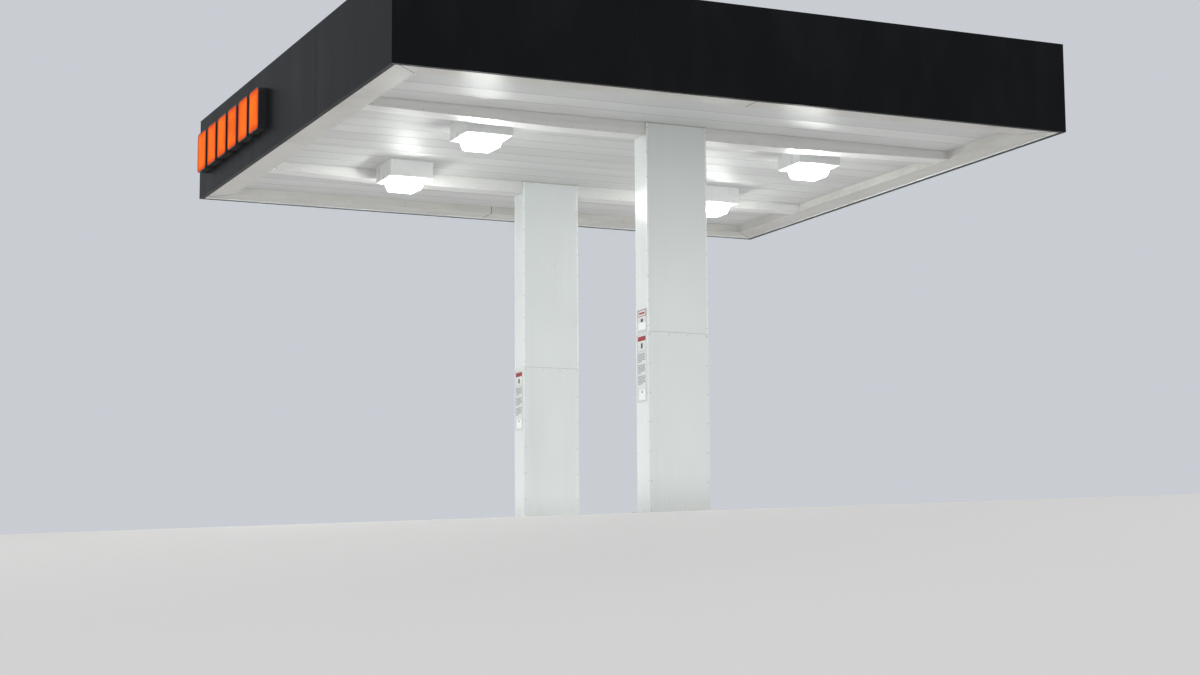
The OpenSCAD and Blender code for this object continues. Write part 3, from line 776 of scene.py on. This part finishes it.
# Drop lens: a moulded glass dish with round shoulders and a prismatic base. Each ring of it has how far in
# it is from the rim, how far below the rim or above the base, its corner radius, and its glow
lens = {"belowRim": ((0.0, 0.0, 0.014, 0.0), (0.0, 0.016, 0.014, 0.1), (0.0054, 0.050, 0.020, 0.5)),
        "aboveBase": ((0.018, 0.042, 0.026, 0.8), (0.028, 0.020, 0.032, 0.9),
                      (0.040, 0.009, 0.032, 0.95), (0.046, 0.0055, 0.032, 1.0)),
        "flatDrop": 0.004, "prism": 0.0215, "prismShare": 0.9, "prismDeep": 0.005, "prismEdge": 0.110}
lenses = [n for n in sorted(nodes) if n.startswith("light_lens")]


def lensBody(name, node):
    low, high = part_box(node)
    middle = Vector(((low.x + high.x) / 2, (low.y + high.y) / 2, 0))     # on the floor, right below
    rim = (high.x - low.x) / 2
    work = bmesh.new()
    work.verts.layers.float.new("glow")
    rings = []
    for start, way, table in ((high.z, -1, lens["belowRim"]), (low.z, 1, lens["aboveBase"])):
        for inwards, off, corner, bright in table:
            centre, half = middle + zWay * (start + way * off), rim - inwards
            rings.append(glowRing(work, bright, centre, xWay, yWay, half, half, corner, 5))
    # the base itself has no glow, so it is a shade darker than the tips of the prisms that stand out of it
    rings.append([work.verts.new(vert.co + (middle - vert.co).normalized() * lens["flatDrop"])
                  for vert in rings[-1]])
    for upper, lower in zip(rings, rings[1:]):
        joinRings(work, upper, lower)
    work.faces.new(rings[0])
    work.faces.new(list(reversed(rings[-1])))
    return keep(pieceFrom(name, work, lensGlass, True), "light_glass", node)


for node in lenses:
    low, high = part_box(node)
    lensBody("dropLens" + node[-1], node)
    count = int((high.x - low.x - lens["prismEdge"]) / lens["prism"])
    centre = (low + high) / 2
    offsets = [(i - (count - 1) / 2) * lens["prism"] for i in range(count)]
    spots = [((centre.x + dx, centre.y + dy, low.z + lens["prismDeep"]), downwards)
             for dx in offsets for dy in offsets]
    scatter("lensPrisms" + node[-1], prismTree, spots, {
        "side": lens["prism"] * lens["prismShare"], "height": lens["prismDeep"]}, lensGlass, "light_glass")

# Door frame of each light: two beads that clamp the lens, each with its half size and corner radius,
# four screws, and two hinges at the back
door = {"beads": ((0.290, 0.012), (0.209, 0.020)), "bead": 0.005, "screwAt": 0.272, "hinge": 0.009,
        "hingeLong": 0.070, "hingeAt": 0.17, "hingeOut": 0.0045, "hingeUp": 0.026, "studRadius": 0.004,
        "studHeight": 0.012, "washerRadius": 0.009, "washerHeight": 0.002, "acrossFlats": 0.013,
        "nutHeight": 0.007}
beadMesh, hingeMesh = bmesh.new(), bmesh.new()
spots = []
for node in lenses:
    low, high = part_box(node.replace("lens", "box"))
    middle = Vector(((low.x + high.x) / 2, (low.y + high.y) / 2, low.z))
    for half, radius in door["beads"]:
        addBead(beadMesh, roundedLoop(middle, xWay, yWay, half, half, radius, 5), zWay, door["bead"])
    spots += [((middle.x + sx * door["screwAt"], middle.y + sy * door["screwAt"], low.z), downwards)
              for sx, sy in fourSigns]
    for s in bothSigns:
        pin = Vector((middle.x + s * door["hingeAt"], high.y + door["hingeOut"], low.z + door["hingeUp"]))
        half = xWay * door["hingeLong"] / 2
        addRod(hingeMesh, pin - half, pin + half, door["hinge"], 12)
keep(pieceFrom("lightDoorBeads", beadMesh, lightPaint, True), "light_enamel")
keep(pieceFrom("lightHinges", hingeMesh, lightPaint), "light_enamel")
scatter("lightDoorScrews", boltTree, spots, door, screws, "light_enamel")
print("lights done")


# Sign: six glowing acrylic faces, domed at the edges, each held by a trim cap. Each ring of a face has
# how far in it is from the edge, how deep behind the front, and its glow
sign = {"blocks": 6, "gap": 0.090, "corner": 0.054, "leastCorner": 0.008, "inset": 0.006, "behind": 0.001,
        "rings": ((0.0, 0.014, 0.0), (0.0, 0.006, 0.05), (0.006, 0.002, 0.2), (0.020, 0.0, 0.45),
                  (0.055, 0.0, 0.8), (0.100, 0.0, 1.0)),
        "cap": 0.007, "capOut": 0.003, "capClear": 0.0005}
cansLow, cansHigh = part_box("sign_cans")
blockWide = (cansHigh.y - cansLow.y - (sign["blocks"] - 1) * sign["gap"]) / sign["blocks"]
middleZ = (cansLow.z + cansHigh.z) / 2
halfWide, halfHigh = blockWide / 2 - sign["inset"], (cansHigh.z - cansLow.z) / 2 - sign["inset"]
faceMesh, capMesh = bmesh.new(), bmesh.new()
faceMesh.verts.layers.float.new("glow")
for i in range(sign["blocks"]):
    y = cansLow.y + (i + 0.5) * blockWide + i * sign["gap"]
    rings = []
    for inwards, back, bright in sign["rings"]:
        centre = Vector((cansLow.x + sign["behind"] + back, y, middleZ))
        corner = max(sign["leastCorner"], sign["corner"] - inwards)
        rings.append(glowRing(
            faceMesh, bright, centre, yWay, zWay, halfWide - inwards, halfHigh - inwards, corner, 5))
    for outer, inner in zip(rings, rings[1:]):
        joinRings(faceMesh, outer, inner)
    faceMesh.faces.new(rings[-1])
    faceMesh.faces.new(list(reversed(rings[0])))
    centre = Vector((cansLow.x + sign["cap"], y, middleZ))
    loop = roundedLoop(centre, yWay, zWay, halfWide + sign["capOut"], halfHigh + sign["capOut"],
                       sign["corner"] + sign["capOut"], 6)
    addBead(capMesh, loop, -xWay, sign["cap"] - sign["capClear"])
keep(pieceFrom("signFaces", faceMesh, signAcrylic, True), "sign_acrylic", "sign_faces")
keep(pieceFrom("signTrimCaps", capMesh, canPaint, True), "sign_can")
print("sign done")

# Notices: a red heading block, a small picture, and paragraphs of grey bars that spell nothing. "splits"
# gives the bottom and top of each notice on a column, the long one first
board = {"skin": 0.0012, "margin": 0.024, "border": 0.009, "line": 0.003, "upperProud": 0.004,
         "heading": 0.055, "headingAt": 0.028, "picture": (0.044, 0.062), "pictureAt": 0.112,
         "ruleAt": 0.205, "bar": 0.008, "row": 0.0185, "rowsAt": 0.235, "rows": 6, "paragraphs": 3,
         "pause": 0.024, "lastRow": (0.35, 0.6), "fullRow": (0.88, 1.0), "panel": 0.120,
         "panelIn": 0.050, "panelPicture": 0.026, "panelPictureAt": 0.012, "frame": 0.078,
         "frameLine": 0.007, "frameAt": 0.018, "redLine": 0.022, "redLineIn": 0.030, "redLineAt": 0.028,
         "shortPicture": (0.060, 0.040), "shortPictureAt": 0.124, "shortPanel": 0.170,
         "screwIn": 0.012, "radius": 0.005, "height": 0.0025,
         "splits": {"front_column_notices": ((1.41, 2.23), (2.26, 2.54)),
                    "back_column_notice": ((1.40, 2.21),)}}
red, grey, dark, white = bmesh.new(), bmesh.new(), bmesh.new(), bmesh.new()
draw = random.Random(7)


# A thin mark on a notice: from its left edge and its top, with its width and height
def mark(work, sheet, left, down, width, high, layers=1):
    x, rightY, top = sheet
    addBlock(work, (x - board["skin"] * layers, rightY - left - width, top - down - high),
             (x, rightY - left, top - down))


def outline(work, sheet, left, down, width, high, line):
    for shift in (0.0, high - line):
        mark(work, sheet, left, down + shift, width, line)
    for shift in (0.0, width - line):
        mark(work, sheet, left + shift, down + line, line, high - 2 * line)


# The short notice: a red box round one red line, a picture, and a white panel below
def shortNotice(sheet, width, high):
    margin = board["margin"]
    inside = width - 2 * margin
    outline(red, sheet, margin, board["frameAt"], inside, board["frame"], board["frameLine"])
    mark(red, sheet, margin + board["redLineIn"], board["frameAt"] + board["redLineAt"],
         inside - 2 * board["redLineIn"], board["redLine"])
    wide, tall = board["shortPicture"]
    mark(dark, sheet, (width - wide) / 2, board["shortPictureAt"], wide, tall)
    mark(white, sheet, margin, board["shortPanel"], inside, high - board["shortPanel"] - margin)


# The long notice: a red heading, a picture, three paragraphs, and a white panel with a small picture
def longNotice(sheet, width, high):
    margin = board["margin"]
    inside = width - 2 * margin
    mark(red, sheet, margin, board["headingAt"], inside, board["heading"])
    wide, tall = board["picture"]
    mark(dark, sheet, (width - wide) / 2, board["pictureAt"], wide, tall)
    mark(grey, sheet, margin, board["ruleAt"], inside, board["line"])
    down = board["rowsAt"]
    for paragraph in range(board["paragraphs"]):
        for row in range(board["rows"]):
            share = draw.uniform(*board["lastRow" if row == board["rows"] - 1 else "fullRow"])
            mark(grey, sheet, margin, down, inside * share, board["bar"])
            down += board["row"]
        down += board["pause"]
    panelAt = high - board["panel"] - margin
    mark(white, sheet, board["panelIn"], panelAt, width - 2 * board["panelIn"], board["panel"])
    small = board["panelPicture"]
    mark(dark, sheet, (width - small) / 2, panelAt + board["panelPictureAt"], small, small, 2)


spots = []
for node, splits in board["splits"].items():
    low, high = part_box(node)
    width, border = high.y - low.y, board["border"]
    for k, (bottom, top) in enumerate(splits):
        sheet = (low.x + k * board["upperProud"], high.y, top)
        layOut = shortNotice if k else longNotice
        layOut(sheet, width, top - bottom)
        outline(grey, sheet, border, border, width - 2 * border, top - bottom - 2 * border, board["line"])
        for y in (low.y + board["screwIn"], high.y - board["screwIn"]):
            for z in (bottom + board["screwIn"], top - board["screwIn"]):
                spots.append(((sheet[0] - board["skin"], y, z), leftwards))
for name, work, material in (("noticeHeadings", red, noticeRed), ("noticeRows", grey, noticeGrey),
                             ("noticePictures", dark, noticeDark), ("noticePanels", white, noticeWhite)):
    keep(pieceFrom(name, work, material), "notice_plate")
scatter("noticeScrews", rivetTree, spots, board, screws, "notice_plate")
print("notices done")


# Camera: the photograph's own viewing angle, from a little below the level of the floor
shot = {"place": (-11.887, -26.056, -1.314), "heading": 24.378, "pitch": 7.482, "roll": -0.391,
        "lens": 67.11, "sensor": 36.0, "sight": 500.0}
camera = putInScene("camera", bpy.data.cameras.new("camera"))
camera.data.lens, camera.data.sensor_width = shot["lens"], shot["sensor"]
camera.data.clip_end = shot["sight"]
camera.matrix_world = (Matrix.Translation(shot["place"])
                       @ Matrix.Rotation(-math.radians(shot["heading"]), 4, "Z")
                       @ Matrix.Rotation(math.radians(90 + shot["pitch"]), 4, "X")
                       @ Matrix.Rotation(math.radians(shot["roll"]), 4, "Z"))
bpy.context.scene.camera = camera

# Floor: level under the roof, with a low ridge at its crest, then falling away on the camera's side
ground = {"reach": 600.0, "crest": 2.3, "ease": 7.3, "drop": 1.8, "towards": Vector((-0.787, -0.617)),
          "ridge": 0.016, "ridgeWide": 0.42, "sink": 0.0005, "ridgeStrips": 8, "evenStrips": 32,
          "growth": 1.12}


def groundHeight(past):
    lift = max(0.0, min(1.0, 1 + past / ground["ridgeWide"]))
    rise = ground["ridge"] * lift * lift * (3 - 2 * lift) - ground["sink"]
    fall = max(0.0, past) ** 2
    return rise - ground["drop"] * fall / (fall + ground["ease"] ** 2)


# Strips run along the crest, narrow beside it and wider with distance
edges = [ground["ridgeWide"] * i / ground["ridgeStrips"]
         for i in range(-ground["ridgeStrips"], ground["evenStrips"] + 1)]
while edges[-1] < ground["reach"]:
    edges.append(edges[-1] * ground["growth"])
floorMesh = bmesh.new()
across = ground["towards"].normalized()
crestWay = Vector((-across.y, across.x)) * ground["reach"]
rows = []
for past in [-ground["reach"]] + edges:
    foot = across * (past + ground["crest"])
    rows.append([floorMesh.verts.new((*(foot + crestWay * s), groundHeight(past))) for s in bothSigns])
for near, far in zip(rows, rows[1:]):
    floorMesh.faces.new((near[1], near[0], far[0], far[1]))
floorMesh.normal_update()

# Matt pale paint on a smooth floor: no sheen, only the roof's soft shadow; from below it is see-through
floorPaint, floorTree, matt, _ = newMaterial("paleFloor", {"Base Color": "#D9D9D8", "Roughness": 0.9})
seeThrough = addNode(floorTree, "ShaderNodeBsdfTransparent")
under = addNode(floorTree, "ShaderNodeNewGeometry").outputs["Backfacing"]
either = addNode(floorTree, "ShaderNodeMixShader", {0: under, 1: matt, 2: seeThrough})
setInputs(floorTree.nodes["Material Output"], {"Surface": either})
objectFrom("floor", floorMesh, floorPaint, True)

# Soft studio light: an even pale surround and three broad lamps far off; the floor throws it back up.
# Each lamp has its name, the side it stands on, its spread in degrees and its strength
studio = {"background": "#C9CDD3", "ambient": 0.5, "lamps": (
    ("keyLamp", (-0.88, -0.20, 0.40), 50.0, 1.6), ("fillLamp", (0.50, -0.80, 0.30), 60.0, 0.9),
    ("backLamp", (0.30, 0.85, 0.40), 60.0, 0.9))}
world = bpy.data.worlds.new("studio")
bpy.context.scene.world = world
world.use_nodes = True
sky = world.node_tree
sky.nodes.clear()
ray = addNode(sky, "ShaderNodeLightPath")
glossy = addNode(sky, "ShaderNodeMath", {
    0: ray.outputs["Is Camera Ray"], 1: ray.outputs["Is Glossy Ray"]}, operation="MAXIMUM")
seen = addNode(sky, "ShaderNodeMath", {
    0: glossy, 1: ray.outputs["Is Transmission Ray"]}, operation="MAXIMUM")
dim = addNode(sky, "ShaderNodeBackground", {"Color": "#FFFFFF", "Strength": studio["ambient"]})
pale = addNode(sky, "ShaderNodeBackground", {"Color": studio["background"], "Strength": 1.0})
mixed = addNode(sky, "ShaderNodeMixShader", {0: seen, 1: dim, 2: pale})
addNode(sky, "ShaderNodeOutputWorld", {"Surface": mixed})
for name, source, spread, strength in studio["lamps"]:
    lamp = bpy.data.lights.new(name, "SUN")
    lamp.angle, lamp.energy = math.radians(spread), strength
    holder = putInScene(name, lamp)
    holder.rotation_mode = "QUATERNION"
    holder.rotation_quaternion = (-Vector(source)).to_track_quat("-Z", "Y")
    holder.visible_camera = holder.visible_glossy = False
bpy.context.scene.view_settings.view_transform = "Standard"
print("camera, floor and lights done")
